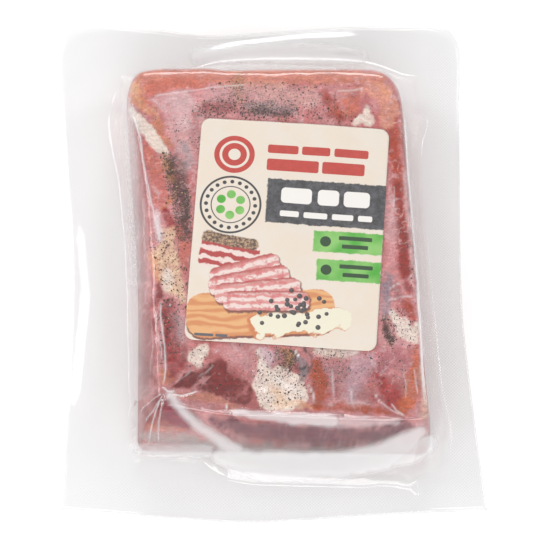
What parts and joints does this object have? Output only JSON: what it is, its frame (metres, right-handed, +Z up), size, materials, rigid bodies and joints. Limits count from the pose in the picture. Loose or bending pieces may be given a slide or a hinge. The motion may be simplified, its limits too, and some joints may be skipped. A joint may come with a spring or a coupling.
{
  "type": "vacuum pack of cured pork fat",
  "caption": "Thick slab of cured pork under clear film drawn down on a wide flat sealed flange, with a rectangular paper label on top.",
  "frame": {"origin": "middle of the bounding box's base, on the surface that the pack lies on", "axes": "+X to the right of the label as it is read, +Y towards the label's head, +Z up out of the labelled side"},
  "size_m": [0.1842, 0.2286, 0.04],
  "materials": {
    "film": "clear glossy film, milky where the two webs are sealed",
    "label_paper": "smooth coated paper with a printed design of bars, rings and slices",
    "cured_meat": "moist cured lean with cream-white fat, pressed against the film",
    "pepper": "coarse ground pepper and brown spice"
  },
  "bodies": {
    "root": {"vacuum_pack": "film", "label": "label_paper"}
  },
  "joints": []
}
